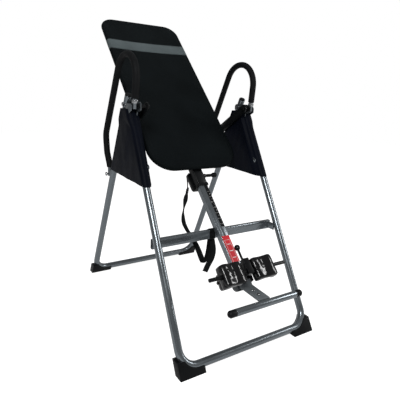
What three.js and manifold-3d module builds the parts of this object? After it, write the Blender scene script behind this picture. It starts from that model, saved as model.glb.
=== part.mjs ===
// Inversion table: an A-frame of two bent steel U tubes that holds a reclined bed on two pivots,
// with a telescopic boom, a footrest and an ankle clamp at the bed's foot end.
// Millimetres. X is across the table, -Y is the user's front side, +Z is up.
import * as THREE from "three";
import { mergeVertices } from "three/addons/utils/BufferGeometryUtils.js";
import Module from "manifold-3d";

const wasm = await Module();
wasm.setup();

// ---------- driving dimensions ----------
const GAP = 0.3; // kept between touching pieces
const WALL = 1.5; // steel tube wall
const ORIGIN_Y = 115.3; // middle of the table's length, in the design's own Y
const FLOOR = -5; // the floor, in the design's own Z

const LEG_X = 333; // both frames' legs
const LEG_R = 16.5;
const LEG_BEND = 72;
const BASE_Z = 17; // centre of the tubes that lie along the floor
const FRONT_LEG = { y: -461.2, slope: 0.549, top: 1000 }; // y = y0 + slope * z
const REAR_LEG = { y: 601.7, slope: -0.4634, top: 1050 };

const FOOT_OUTER_X = 355.6;
const FOOT_LENGTH = 115;
const FOOT_DEPTH = 44;
const FOOT_TOP = 50;

const CROSSBAR = { y: -162, z: 425, depth: 20, height: 44 };

const HINGE = { y: 134, z: 1010, r: 5 }; // bolt that the rear leg folds about
const PIVOT = { y: 30, z: 1005, r: 7 }; // axis that the bed swings about
const BRACKET_IN = LEG_R + 0.6; // bracket plates, measured from the leg's centre plane
const BRACKET_OUT = BRACKET_IN + 3;

const HANDLE_R = 11;
const FOAM_R = 16;
const HANDLE_BOLT = { y: 349, z: 640, r: 4 };

const SPREADER = { front: 740, rear: 700, link: 185, width: 20, x: 303, thick: 3 };

const RECLINE = THREE.MathUtils.degToRad(45); // bed's angle from upright
// In the bed's own frame the pivot is the origin, +Z runs to the head end and +Y points behind.
const BACKREST = { y: 168.8, half: 254, bottom: -236, top: 878, thick: 7, topR: 86, bottomR: 125 };
const LOOP = { y: 188.6, r: 12.5, inset: 16 };
const BEAM = { y: 214.2, z: 45, half: 277 };
const BOOM = { y: 230, w: 46, d: 32, top: -100, bottom: -834, wall: 2 };
const SLEEVE = { w: 53, d: 39, wall: 2, top: 31, bottom: -303 };
const HOLE_PITCH = 25;
const LOCK_Z = -252;
const SLIDE = { z: -748, r: 7, end: 309 };
const FRONT_AXLE = { y: 154, z: -788, r: 8, half: 203 };
const REAR_AXLE = { y: 279, z: -775, r: 6, half: 92 };
const FRONT_PAD = { inner: 26, outer: 142, middle: 80, face: 182, deep: 54, hollow: [34, 17] };
const REAR_PAD = { inner: 26, outer: 90, middle: 60, face: 254, deep: -44, hollow: [26, -14] };
const PAD_LENGTH = { front: 98, rear: 74 };
const FOOTREST = { y: 130, z: -936, r: 14.5, half: 194, cap: 36 };
const STRAP_W = 30;
const STRAP_T = 3;
const LOOP_X = -24; // middle of the webbing's loop on the crossbar

// ---------- solids ----------
function solid(geometry) {
  const bare = geometry.index ? geometry.toNonIndexed() : geometry.clone();
  for (const name of Object.keys(bare.attributes)) {
    if (name !== "position") bare.deleteAttribute(name);
  }
  const merged = mergeVertices(bare, 1e-4);
  const mesh = new wasm.Mesh({
    numProp: 3,
    vertProperties: merged.attributes.position.array,
    triVerts: new Uint32Array(merged.index.array),
  });
  return new wasm.Manifold(mesh);
}

function geometryOf(manifold) {
  const mesh = manifold.getMesh();
  const geometry = new THREE.BufferGeometry();
  geometry.setAttribute("position", new THREE.BufferAttribute(mesh.vertProperties, 3));
  geometry.setIndex(new THREE.BufferAttribute(mesh.triVerts, 1));
  const flat = geometry.toNonIndexed();
  flat.computeVertexNormals();
  return flat;
}

function join(...geometries) {
  return geometryOf(geometries.map(solid).reduce((a, b) => a.add(b)));
}

function cut(base, ...tools) {
  return geometryOf(tools.map(solid).reduce((a, b) => a.subtract(b), solid(base)));
}

function mirrored(geometry) {
  const flat = geometry.index ? geometry.toNonIndexed() : geometry.clone();
  flat.scale(-1, 1, 1);
  const position = flat.attributes.position;
  const point = new THREE.Vector3();
  const other = new THREE.Vector3();
  for (let i = 0; i < position.count; i += 3) {
    point.fromBufferAttribute(position, i + 1);
    other.fromBufferAttribute(position, i + 2);
    position.setXYZ(i + 1, other.x, other.y, other.z);
    position.setXYZ(i + 2, point.x, point.y, point.z);
  }
  flat.computeVertexNormals();
  return flat;
}

function box(x0, x1, y0, y1, z0, z1) {
  const geometry = new THREE.BoxGeometry(x1 - x0, y1 - y0, z1 - z0);
  return geometry.translate((x0 + x1) / 2, (y0 + y1) / 2, (z0 + z1) / 2);
}

// A cylinder along X.
function rod(radius, x0, x1, y, z, sides = 16) {
  const geometry = new THREE.CylinderGeometry(radius, radius, x1 - x0, sides);
  return geometry.rotateZ(Math.PI / 2).translate((x0 + x1) / 2, y, z);
}

// A body turned about a line along X: profile points are [x, radius].
function turnedX(profile, y, z, sides = 18) {
  const points = profile.map(([x, r]) => new THREE.Vector2(r, -x)).reverse();
  return new THREE.LatheGeometry(points, sides).rotateZ(Math.PI / 2).translate(0, y, z);
}

// A plate: an outline of [y, z] points, from x0 to x1, with round holes [y, z, radius].
function plate(outline, x0, x1, holes = []) {
  const points = outline.map(([y, z]) => new THREE.Vector2(y, z));
  if (THREE.ShapeUtils.isClockWise(points)) points.reverse();
  const shape = new THREE.Shape(points);
  for (const [y, z, r] of holes) {
    shape.holes.push(new THREE.Path().absarc(y, z, r, 0, Math.PI * 2, true));
  }
  const options = { depth: x1 - x0, bevelEnabled: false, curveSegments: 7 };
  const geometry = new THREE.ExtrudeGeometry(shape, options);
  const axes = new THREE.Matrix4().makeBasis(
    new THREE.Vector3(0, 1, 0),
    new THREE.Vector3(0, 0, 1),
    new THREE.Vector3(1, 0, 0),
  );
  return geometry.applyMatrix4(axes).translate(x0, 0, 0);
}

// The outline of a strip that joins two round ends, as [y, z] points.
function strapOutline(a, b, ra, rb, steps = 7) {
  const along = Math.atan2(b[1] - a[1], b[0] - a[0]);
  const points = [];
  for (let i = 0; i <= steps; i++) {
    const t = along + Math.PI / 2 + (Math.PI * i) / steps;
    points.push([a[0] + ra * Math.cos(t), a[1] + ra * Math.sin(t)]);
  }
  for (let i = 0; i <= steps; i++) {
    const t = along - Math.PI / 2 + (Math.PI * i) / steps;
    points.push([b[0] + rb * Math.cos(t), b[1] + rb * Math.sin(t)]);
  }
  return points;
}

// A path through points, with one section at each of them.
class PointPath extends THREE.Curve {
  constructor(points) {
    super();
    this.points = points;
  }
  getPoint(t, target = new THREE.Vector3()) {
    const at = t * (this.points.length - 1);
    const i = Math.min(Math.floor(at), this.points.length - 2);
    return target.lerpVectors(this.points[i], this.points[i + 1], at - i);
  }
  getPointAt(t, target) {
    return this.getPoint(t, target);
  }
  getTangentAt(t) {
    const last = this.points.length - 1;
    const i = Math.round(t * last);
    const before = this.points[Math.max(i - 1, 0)];
    const here = this.points[i];
    const after = this.points[Math.min(i + 1, last)];
    const into = here.clone().sub(before).normalize();
    const out = after.clone().sub(here).normalize();
    return into.add(out).normalize();
  }
}

// Rounds each inner corner of a polyline with an arc. corners: [x, y, z, radius].
function roundedPath(corners, degreesPerStep = 15) {
  const at = corners.map(([x, y, z]) => new THREE.Vector3(x, y, z));
  const points = [at[0]];
  for (let i = 1; i < at.length - 1; i++) {
    const radius = corners[i][3];
    const toward = at[i - 1].clone().sub(at[i]).normalize();
    const away = at[i + 1].clone().sub(at[i]).normalize();
    const turn = Math.PI - toward.angleTo(away);
    const centre = toward.clone().add(away).normalize();
    centre.multiplyScalar(radius / Math.cos(turn / 2)).add(at[i]);
    const start = at[i].clone().addScaledVector(toward, radius * Math.tan(turn / 2)).sub(centre);
    const axis = new THREE.Vector3().crossVectors(away, toward).normalize();
    const steps = Math.max(1, Math.round(THREE.MathUtils.radToDeg(turn) / degreesPerStep));
    for (let k = 0; k <= steps; k++) {
      const arm = start.clone().applyAxisAngle(axis, (turn * k) / steps);
      points.push(arm.add(centre));
    }
  }
  points.push(at[at.length - 1]);
  return points;
}

function circle(radius) {
  return new THREE.Shape().absarc(0, 0, radius, 0, Math.PI * 2, false);
}

// A round tube along points; a bore of 0 leaves it solid.
function tube(points, radius, bore = 0, sides = 14) {
  const shape = circle(radius);
  if (bore > 0) shape.holes.push(new THREE.Path().absarc(0, 0, bore, 0, Math.PI * 2, true));
  return new THREE.ExtrudeGeometry(shape, {
    steps: points.length - 1,
    extrudePath: new PointPath(points),
    curveSegments: sides / 2,
    bevelEnabled: false,
  });
}

function roundedRect(w, h, r) {
  const x = w / 2;
  const y = h / 2;
  const shape = new THREE.Shape();
  shape.moveTo(-x + r, -y);
  shape.lineTo(x - r, -y);
  shape.absarc(x - r, -y + r, r, -Math.PI / 2, 0, false);
  shape.absarc(x - r, y - r, r, 0, Math.PI / 2, false);
  shape.absarc(-x + r, y - r, r, Math.PI / 2, Math.PI, false);
  shape.absarc(-x + r, -y + r, r, Math.PI, Math.PI * 1.5, false);
  return shape;
}

// A rectangular tube along Z, centred on x 0 and y.
function squareTube(w, d, wall, y, z0, z1, r = 4) {
  const shape = roundedRect(w, d, r);
  shape.holes.push(roundedRect(w - 2 * wall, d - 2 * wall, Math.max(r - wall, 0.5)));
  const options = { depth: z1 - z0, bevelEnabled: false, curveSegments: 2 };
  return new THREE.ExtrudeGeometry(shape, options).translate(0, y, z0);
}

const frontY = (z) => FRONT_LEG.y + FRONT_LEG.slope * z;
const rearY = (z) => REAR_LEG.y + REAR_LEG.slope * z;

// ---------- materials ----------
const finish = (color, roughness, metalness) =>
  new THREE.MeshStandardMaterial({ color, roughness, metalness });
const SILVER = finish(0x8f989c, 0.35, 0.8);
const BLACK_STEEL = finish(0x1a1c1e, 0.45, 0.5);
const STEEL = finish(0xc4c8ca, 0.25, 0.95);
const BLACK_PLASTIC = finish(0x141618, 0.4, 0);
const GLOSS_BLACK = finish(0x0c0d0e, 0.15, 0);
const GREY_PLASTIC = finish(0x707577, 0.5, 0);
const FOAM = finish(0x17191a, 0.9, 0);
const FABRIC = finish(0x15181a, 0.85, 0);
const COVER = finish(0x17191c, 0.75, 0);
const WEBBING = finish(0x121315, 0.9, 0);
const RED = finish(0xc02530, 0.5, 0);

function piece(name, geometry, material, parent) {
  const mesh = new THREE.Mesh(geometry, material);
  mesh.name = name;
  parent.add(mesh);
  return mesh;
}

// A piece on the right side (+X) and its mirror image on the left.
function pair(name, geometry, material, parent) {
  piece(`${name}_right`, geometry, material, parent);
  piece(`${name}_left`, mirrored(geometry), material, parent);
}

// ---------- frames ----------
function legPath(leg, y) {
  return roundedPath([
    [-LEG_X, y(leg.top), leg.top],
    [-LEG_X, y(BASE_Z), BASE_Z, LEG_BEND],
    [LEG_X, y(BASE_Z), BASE_Z, LEG_BEND],
    [LEG_X, y(leg.top), leg.top],
  ]);
}

// A cradle under the frame's lower corner, leaning with the leg, cut to the bent tube.
function frameFoot(leg, path) {
  const arcX = LEG_X - LEG_BEND;
  const arcZ = BASE_Z + LEG_BEND;
  const inner = FOOT_OUTER_X - FOOT_LENGTH;
  const top = Math.asin((arcZ - FOOT_TOP) / LEG_BEND);
  const shape = new THREE.Shape();
  shape.moveTo(inner, FLOOR);
  shape.lineTo(FOOT_OUTER_X, FLOOR);
  shape.lineTo(FOOT_OUTER_X, FOOT_TOP);
  shape.lineTo(arcX + LEG_BEND * Math.cos(top), FOOT_TOP);
  shape.absarc(arcX, arcZ, LEG_BEND, -top, -Math.PI / 2, true);
  shape.lineTo(inner, BASE_Z);
  const options = { depth: FOOT_DEPTH, bevelEnabled: false, curveSegments: 8 };
  const block = new THREE.ExtrudeGeometry(shape, options).rotateX(Math.PI / 2);
  block.translate(0, FOOT_DEPTH / 2, 0);
  const lean = new THREE.Matrix4().makeShear(0, 0, 0, 0, 0, leg.slope);
  block.applyMatrix4(lean).translate(0, leg.y + leg.slope * 2, 0);
  return cut(block, tube(path, LEG_R + GAP));
}

function spreaderHole(y, z) {
  return rod(4.3, LEG_X - LEG_R - 4, LEG_X, y(z), z, 10);
}

function frontFrame(parent) {
  const path = legPath(FRONT_LEG, frontY);
  const hole = spreaderHole(frontY, SPREADER.front);
  const shell = tube(path, LEG_R, LEG_R - WALL);
  piece("front_frame_tube", cut(shell, hole, mirrored(hole)), SILVER, parent);
  pair("front_foot", frameFoot(FRONT_LEG, path), BLACK_PLASTIC, parent);
}

function crossbar(parent) {
  const { y, z, depth, height } = CROSSBAR;
  const shape = roundedRect(height, depth, 5);
  shape.holes.push(roundedRect(height - 2 * WALL, depth - 2 * WALL, 3.5));
  const options = { depth: 2 * LEG_X, bevelEnabled: false, curveSegments: 2 };
  const bar = new THREE.ExtrudeGeometry(shape, options);
  bar.rotateY(Math.PI / 2).translate(-LEG_X, y, z);
  const leg = tube(legPath(FRONT_LEG, frontY), LEG_R + GAP);
  const outside = box(LEG_X, LEG_X + 20, y - 30, y + 30, z - 40, z + 40);
  const tab = box(317.5, 323.5, y - 52, y - 2, z - 16, z + 16); // reaches the back of the leg
  const trimmed = cut(join(bar, tab, mirrored(tab)), leg, outside, mirrored(outside));
  const kept = solid(trimmed).decompose().sort((a, b) => b.volume() - a.volume())[0];
  piece("crossbar", geometryOf(kept), SILVER, parent);
}

function rearFrame(parent) {
  const path = legPath(REAR_LEG, rearY);
  const hole = spreaderHole(rearY, SPREADER.rear);
  const bolt = rod(HINGE.r + 0.4, LEG_X - 40, LEG_X + 40, HINGE.y, HINGE.z, 14);
  const shell = tube(path, LEG_R, LEG_R - WALL);
  const drilled = cut(shell, hole, mirrored(hole), bolt, mirrored(bolt));
  const lug = handleLug(path);
  piece("rear_frame_tube", join(drilled, lug, mirrored(lug)), SILVER, parent);
  pair("rear_foot", frameFoot(REAR_LEG, path), BLACK_PLASTIC, parent);
}

// A domed plug over the open upper end of a rear leg.
function rearEndCap() {
  const r = LEG_R;
  const plug = LEG_R - WALL - 3 * GAP;
  const profile = [[0, -14], [plug, -14], [plug, GAP], [r, GAP], [r, 5], [r - 4, 9], [0, 10]];
  const cap = new THREE.LatheGeometry(profile.map(([a, b]) => new THREE.Vector2(a, b)), 18);
  const lean = Math.atan(REAR_LEG.slope);
  cap.rotateX(Math.PI / 2).rotateX(-lean);
  return cap.translate(LEG_X, rearY(REAR_LEG.top), REAR_LEG.top);
}

// A folded steel bracket that holds the front leg's top, the rear leg's hinge and the bed's pivot.
function hingeBracket() {
  const long = [
    [12, 988], [12, 1016], [22, 1024], [50, 1026], [140, 1026], [150, 1016],
    [150, 998], [140, 986], [112, 976], [92, 952], [58, 952], [52, 976], [20, 984],
  ];
  const short = [
    [34, 984], [33, 1006], [40, 1015], [100, 1015], [107, 1002], [104, 976], [92, 952],
    [58, 952], [60, 970],
  ];
  const bolt = [HINGE.y, HINGE.z, HINGE.r + GAP];
  const bush = [PIVOT.y, PIVOT.z, 10 + GAP];
  const inside = plate(long, LEG_X - BRACKET_OUT, LEG_X - BRACKET_IN, [bolt, bush]);
  const outside = plate(short, LEG_X + BRACKET_IN, LEG_X + BRACKET_OUT);
  const roof = box(LEG_X - BRACKET_OUT + 0.5, LEG_X + BRACKET_OUT - 0.5, 62, 98, 1010.5, 1014.5);
  const rivets = [966, 986].map((z) => {
    return rod(5, LEG_X + BRACKET_OUT - 1, LEG_X + BRACKET_OUT + 2, frontY(z), z, 10);
  });
  return join(inside, outside, roof, ...rivets);
}

function hingeBolt() {
  const x = LEG_X;
  const profile = [
    [x - 25, 0], [x - 25, 8], [x - BRACKET_OUT - GAP, 8], [x - BRACKET_OUT - GAP, HINGE.r],
    [x + LEG_R + GAP, HINGE.r], [x + LEG_R + GAP, 9], [x + LEG_R + 6, 9], [x + LEG_R + 6, 0],
  ];
  return turnedX(profile, HINGE.y, HINGE.z);
}

// A flanged plastic bush in the bracket's inner plate.
function pivotBush() {
  const far = LEG_X - BRACKET_IN + 4;
  const near = LEG_X - BRACKET_OUT - GAP;
  const profile = [
    [near - 3, PIVOT.r + 0.1], [near - 3, 15], [near, 15], [near, 10], [far, 10],
    [far, PIVOT.r + 0.1], [near - 3, PIVOT.r + 0.1],
  ];
  return turnedX(profile, PIVOT.y, PIVOT.z, 20);
}

// ---------- handles ----------
function handleCorners() {
  const x = LEG_X;
  return [
    [x, 41, 992],
    [x, 16, 1239, 110],
    [x, 214, 1239, 118],
    [x, 416, 842, 70],
    [x, 396, 748, 60],
    [x, 353, 684, 40],
    [x, HANDLE_BOLT.y, HANDLE_BOLT.z - 12],
  ];
}

function handle(parent) {
  const path = roundedPath(handleCorners(), 18);
  const bolt = rod(HANDLE_BOLT.r + GAP, LEG_X - 30, LEG_X + 30, HANDLE_BOLT.y, HANDLE_BOLT.z, 12);
  pair("handle_tube", cut(tube(path, HANDLE_R, HANDLE_R - WALL, 12), bolt), SILVER, parent);
  const ends = [path[0].clone().lerp(path[1], 0.36), path[path.length - 2]];
  const covered = [ends[0], ...path.slice(1, -2), ends[1]];
  const foam = tube(covered, FOAM_R, HANDLE_R + 3 * GAP, 14);
  pair("handle_foam", foam, FOAM, parent);
}

function handleBolt() {
  const x = LEG_X;
  const profile = [
    [x - 24, 0], [x - 24, 8], [x - 17.5, 8], [x - 17.5, HANDLE_BOLT.r],
    [x + 17.5, HANDLE_BOLT.r], [x + 17.5, 10], [x + 23, 10], [x + 25, 7], [x + 25, 0],
  ];
  return turnedX(profile, HANDLE_BOLT.y, HANDLE_BOLT.z, 14);
}

// A forked lug on the rear leg; its open slot lets the handle's bolt out when the frame folds.
function handleLug(legPoints) {
  const { y, z } = HANDLE_BOLT;
  const legAt = rearY(z);
  const outline = [[legAt + 8, z - 22], [y + 12, z - 14], [y + 12, z + 14], [legAt + 4, z + 20]];
  const cheeks = [
    plate(outline, LEG_X - 16, LEG_X - 13),
    plate(outline, LEG_X + 13, LEG_X + 16),
  ];
  const back = box(LEG_X - 16, LEG_X + 16, legAt + 6, legAt + 26, z - 14, z + 14);
  const slot = box(LEG_X - 20, LEG_X + 20, y - 4.6, y + 40, z - 4.6, z + 4.6);
  slot.translate(0, -y, -z).rotateX(THREE.MathUtils.degToRad(29.5)).translate(0, y, z);
  const throat = box(LEG_X - 12.6, LEG_X + 12.6, y - 13, y + 20, z - 30, z + 40);
  return cut(join(...cheeks, back), slot, throat, tube(legPoints, LEG_R - 0.7));
}

// ---------- spreader ----------
// The pivot that the two links share, above the line between their pins, as [y, z].
function spreaderKnee() {
  const a = new THREE.Vector2(frontY(SPREADER.front), SPREADER.front);
  const b = new THREE.Vector2(rearY(SPREADER.rear), SPREADER.rear);
  const along = b.clone().sub(a);
  const rise = Math.sqrt(SPREADER.link ** 2 - (along.length() / 2) ** 2) / along.length();
  return [(a.x + b.x) / 2 - along.y * rise, (a.y + b.y) / 2 + along.x * rise];
}

function spreaderLink(legY, z, x0) {
  const end = [legY(z), z];
  const outline = strapOutline(end, spreaderKnee(), SPREADER.width / 2, SPREADER.width / 2);
  const bar = plate(outline, x0, x0 + SPREADER.thick);
  const pin = rod(4, x0 + 1, LEG_X - LEG_R + 4, end[0], end[1], 10);
  return join(bar, pin);
}

// ---------- side covers ----------
// A flat nylon sleeve, open above and below, round both legs and the spreader.
function sideCover() {
  const at = (low, high, widen) => [
    [frontY(low) - 27 - widen, low],
    [rearY(low) + 27 + widen, low + 12],
    [rearY(high) + 24 + widen, high],
    [frontY(high) - 27 - widen, high],
  ];
  const outer = plate(at(664, 975, 0), LEG_X - 37, LEG_X + 28);
  const inner = plate(at(620, 1030, -2.5), LEG_X - 34.5, LEG_X + 25.5);
  return cut(outer, inner);
}

// ---------- bed ----------
function backrestShape(half, bottom, top, bottomR, topR) {
  const shape = new THREE.Shape();
  shape.moveTo(-half + bottomR, bottom);
  shape.lineTo(half - bottomR, bottom);
  shape.absarc(half - bottomR, bottom + bottomR, bottomR, -Math.PI / 2, 0, false);
  shape.absarc(half - topR, top - topR, topR, 0, Math.PI / 2, false);
  shape.absarc(-half + topR, top - topR, topR, Math.PI / 2, Math.PI, false);
  shape.absarc(-half + bottomR, bottom + bottomR, bottomR, Math.PI, Math.PI * 1.5, false);
  return shape;
}

function backrest() {
  const { half, bottom, top, bottomR, topR, thick, y } = BACKREST;
  const shape = backrestShape(half, bottom, top, bottomR, topR);
  const options = { depth: thick, bevelEnabled: false, curveSegments: 8 };
  return new THREE.ExtrudeGeometry(shape, options).rotateX(Math.PI / 2).translate(0, y + thick, 0);
}

function bedLoop() {
  const x = BACKREST.half - LOOP.inset;
  const low = BACKREST.bottom + LOOP.inset;
  const high = BACKREST.top - LOOP.inset;
  const end = 1; // the two ends nearly meet in front of the sleeve
  const path = roundedPath([
    [-end, LOOP.y, low],
    [-x, LOOP.y, low, BACKREST.bottomR - LOOP.inset],
    [-x, LOOP.y, high, BACKREST.topR - LOOP.inset],
    [x, LOOP.y, high, BACKREST.topR - LOOP.inset],
    [x, LOOP.y, low, BACKREST.bottomR - LOOP.inset],
    [end, LOOP.y, low],
  ], 18);
  return tube(path, LOOP.r, LOOP.r - WALL, 12);
}

function bedBeam() {
  const points = [-BEAM.half, BEAM.half].map((x) => new THREE.Vector3(x, BEAM.y, BEAM.z));
  const y = BEAM.y;
  const bar = tube(points, LOOP.r, LOOP.r - WALL, 14);
  const room = BACKREST.half - LOOP.inset;
  const rails = [-room, room].map((x) => tube([
    new THREE.Vector3(x, LOOP.y, BEAM.z - 60),
    new THREE.Vector3(x, LOOP.y, BEAM.z + 60),
  ], LOOP.r + GAP, 0, 12));
  const outline = strapOutline([y, BEAM.z], [0, 0], 24, 20);
  const arm = plate(outline, BEAM.half - 0.5, BEAM.half + 6, [[0, 0, PIVOT.r + GAP]]);
  const bore = rod(LOOP.r - WALL, -BEAM.half - 8, BEAM.half + 8, y, BEAM.z, 14);
  return cut(join(cut(bar, ...rails), arm, mirrored(arm)), bore);
}

function pivotPin() {
  const arm = BEAM.half - 0.5;
  const profile = [
    [arm - 7, 0], [arm - 7, 12], [arm - GAP, 12], [arm - GAP, PIVOT.r],
    [LEG_X - BRACKET_IN + 5, PIVOT.r], [LEG_X - BRACKET_IN + 5, 0],
  ];
  return turnedX(profile, 0, 0, 20);
}

function boomSleeve() {
  const shell = squareTube(SLEEVE.w, SLEEVE.d, SLEEVE.wall, BOOM.y, SLEEVE.bottom, SLEEVE.top);
  const whole = join(shell, tetherBracket(), lockBarrel());
  return cut(whole, rod(4.6, 10, SLEEVE.w / 2 + 15, BOOM.y, LOCK_Z, 12));
}

function sleeveCollar() {
  const low = SLEEVE.bottom - 12;
  return squareTube(SLEEVE.w + 5, SLEEVE.d + 5, 4.3, BOOM.y, low, SLEEVE.bottom - GAP, 5);
}

// A housing behind the sleeve, which the tether's webbing hangs from.
function tetherBracket() {
  const back = BOOM.y + SLEEVE.d / 2;
  const shape = roundedRect(68, 100, 12);
  const options = { depth: 19, bevelEnabled: false, curveSegments: 4 };
  const block = new THREE.ExtrudeGeometry(shape, options).rotateX(Math.PI / 2);
  block.translate(-4, back + 22, SLEEVE.bottom + 38);
  return join(block, box(-22, 22, back - 0.5, back + 4, SLEEVE.bottom + 2, SLEEVE.bottom + 84));
}

// ---------- height lock ----------
function lockBarrel() {
  const start = SLEEVE.w / 2 - 0.5;
  const profile = [
    [start, 7.2], [start, 10], [start + 19, 10], [start + 20, 9], [start + 20, 4.5],
    [start + 17, 4.5], [start + 17, 7.2], [start, 7.2],
  ];
  return turnedX(profile, BOOM.y, LOCK_Z, 18);
}

// The pin is drawn out and parked: its tip stands just off the boom's side.
function lockPin() {
  const start = SLEEVE.w / 2;
  const tip = BOOM.w / 2 + 0.4;
  const profile = [
    [tip, 0], [tip, 3], [tip + 1, 4], [start + 10, 4], [start + 10, 6.8], [start + 12, 6.8],
    [start + 12, 4], [start + 34, 4], [start + 34, 0],
  ];
  return turnedX(profile, BOOM.y, LOCK_Z, 16);
}

function lockKnob() {
  const start = SLEEVE.w / 2 + 24;
  const bore = 4 + GAP;
  const tip = start + 60;
  const profile = [
    [start + 12, 0], [start + 12, bore], [start, bore], [start, 7], [start + 3, 7.8],
    [tip - 28, 7.8], [tip - 24, 9], [tip - 21, 12.5], [tip - 5, 13], [tip - 1, 10.5], [tip, 0],
  ];
  return turnedX(profile, BOOM.y, LOCK_Z, 18);
}

// ---------- boom ----------
function boomTube() {
  const shell = squareTube(BOOM.w, BOOM.d, BOOM.wall, BOOM.y, BOOM.bottom, BOOM.top, 3);
  const holes = [];
  for (let i = -4; i <= 5; i++) {
    holes.push(rod(4.5, BOOM.w / 2 - 6, BOOM.w / 2 + 6, BOOM.y, LOCK_Z + i * HOLE_PITCH, 10));
  }
  return cut(shell, ...holes, post(SLIDE.r + 0.5, 0, SLIDE.z, BOOM.y - 30, BOOM.y + 30));
}

function boomPlug() {
  const z = BOOM.bottom;
  const w = BOOM.w / 2;
  const d = BOOM.d / 2;
  const lip = box(-w, w, BOOM.y - d, BOOM.y + d, z - 4, z - GAP);
  const gap = BOOM.wall + GAP;
  const body = box(-w + gap, w - gap, BOOM.y - d + gap, BOOM.y + d - gap, z - 1, z + 14);
  return join(lip, body);
}

function frontFaceStrip(x0, x1, z0, z1, thick) {
  const front = BOOM.y - BOOM.d / 2 - GAP;
  return box(x0, x1, front - thick, front, z0, z1);
}

// ---------- footrest ----------
function footrestBracket() {
  const face = BOOM.y - BOOM.d / 2 - GAP;
  const t = 5;
  const bendZ = BOOM.bottom - 4;
  const end = [FOOTREST.y + 8, FOOTREST.z + FOOTREST.r + 1];
  const along = new THREE.Vector2(end[0] - face, end[1] - bendZ).normalize();
  const side = [-along.y * -t, along.x * -t];
  const outline = [
    [face, -806], [face, bendZ], [end[0], end[1]],
    [end[0] - Math.abs(side[0]), end[1] + Math.abs(side[1])],
    [face - t, bendZ + 3], [face - t, -806],
  ];
  const sheet = plate(outline, -30, 30);
  const bar = rod(FOOTREST.r + GAP, -60, 60, FOOTREST.y, FOOTREST.z, 20);
  const holes = [0.35, 0.68].map((s) => {
    const hole = new THREE.CylinderGeometry(4, 4, 40, 10);
    hole.rotateX(-Math.atan2(along.y, along.x));
    return hole.translate(0, face + (end[0] - face) * s, bendZ + (end[1] - bendZ) * s);
  });
  return cut(sheet, bar, ...holes);
}

function footrestBar() {
  const reach = FOOTREST.half - FOOTREST.cap;
  const ends = [-reach, reach].map((x) => new THREE.Vector3(x, FOOTREST.y, FOOTREST.z));
  return tube(ends, FOOTREST.r, FOOTREST.r - WALL, 20);
}

function footrestCap() {
  const start = FOOTREST.half - FOOTREST.cap;
  const r = FOOTREST.r;
  const plug = r - WALL - GAP;
  const profile = [
    [start - 18, 0], [start - 18, plug], [start + GAP, plug], [start + GAP, r],
    [start + 26, r], [start + 33, r - 5], [start + 36, 0],
  ];
  return turnedX(profile, FOOTREST.y, FOOTREST.z, 20);
}

// ---------- ankle clamp ----------
// A moulded pad: two lobes on the outside, and a hollow for the ankle on its inner face.
function padShape({ inner, outer, middle, face, deep, hollow }) {
  const [reach, sink] = hollow;
  const shape = new THREE.Shape();
  const y = (part) => face - deep * part;
  shape.moveTo(inner, face);
  shape.lineTo(inner, y(0.6));
  shape.quadraticCurveTo(inner + 2, y(0.93), inner + 16, y(0.93));
  shape.quadraticCurveTo(middle - 12, y(0.95), middle, y(0.82));
  shape.quadraticCurveTo(middle + 12, y(1), outer - 20, y(1));
  shape.quadraticCurveTo(outer - 2, y(1), outer, y(0.6));
  shape.lineTo(outer, face);
  shape.lineTo(middle + reach, face);
  shape.quadraticCurveTo(middle + reach * 0.7, face - sink, middle, face - sink);
  shape.quadraticCurveTo(middle - reach * 0.7, face - sink, middle - reach, face);
  return shape;
}

function pad(size, length, axle) {
  const options = { depth: length, bevelEnabled: false, curveSegments: 4 };
  const block = new THREE.ExtrudeGeometry(padShape(size), options);
  block.translate(0, 0, axle.z - length / 2);
  return cut(block, rod(axle.r + GAP, 0, 220, axle.y, axle.z, 14));
}

function axleTube(axle) {
  const ends = [-axle.half, axle.half].map((x) => new THREE.Vector3(x, axle.y, axle.z));
  return tube(ends, axle.r, axle.r - 2, 14);
}

// A cylinder along Y.
function post(radius, x, z, y0, y1, sides = 14) {
  const geometry = new THREE.CylinderGeometry(radius, radius, y1 - y0, sides);
  return geometry.translate(x, (y0 + y1) / 2, z);
}

// The slide that carries the front axle: a boss round the axle and a bar through the boom.
function ankleSlide() {
  const { y, z, r } = FRONT_AXLE;
  const boss = box(-14, 14, y - 14, y + 16, z - 15, SLIDE.z + 13);
  const bar = post(SLIDE.r, 0, SLIDE.z, y + 10, SLIDE.end);
  const stop = post(11, 0, SLIDE.z, SLIDE.end - 1, SLIDE.end + 4);
  return cut(join(boss, bar, stop), rod(r + GAP, -40, 40, y, z, 14));
}

// A rounded plate behind the boom, with two cheeks that hold the rear axle.
function heelPlate() {
  const back = BOOM.y + BOOM.d / 2 + GAP;
  const shape = roundedRect(92, 110, 18);
  const options = { depth: 5, bevelEnabled: false, curveSegments: 4 };
  const base = new THREE.ExtrudeGeometry(shape, options).rotateX(Math.PI / 2);
  base.translate(0, back + 5, REAR_AXLE.z - 8);
  const { y, z, r } = REAR_AXLE;
  const cheek = box(13, 18, back + 3, y + 12, z - 16, z + 16);
  const bar = post(SLIDE.r + 0.5, 0, SLIDE.z, back - 10, back + 30);
  return cut(join(base, cheek, mirrored(cheek)), bar, rod(r + GAP, -40, 40, y, z, 14));
}

const RELEASE = { x: 38, y: 215, r: 5.5, low: -726, high: -672 };

function lockHousing() {
  const start = BOOM.w / 2 + GAP;
  const { y } = RELEASE;
  const body = box(start, start + 22, y - 11, y + 13, SLIDE.z - 22, SLIDE.z + 18);
  const well = new THREE.CylinderGeometry(RELEASE.r + 0.4, RELEASE.r + 0.4, 60, 12);
  well.rotateX(Math.PI / 2).translate(RELEASE.x, RELEASE.y, SLIDE.z + 18);
  return cut(body, well);
}

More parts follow.
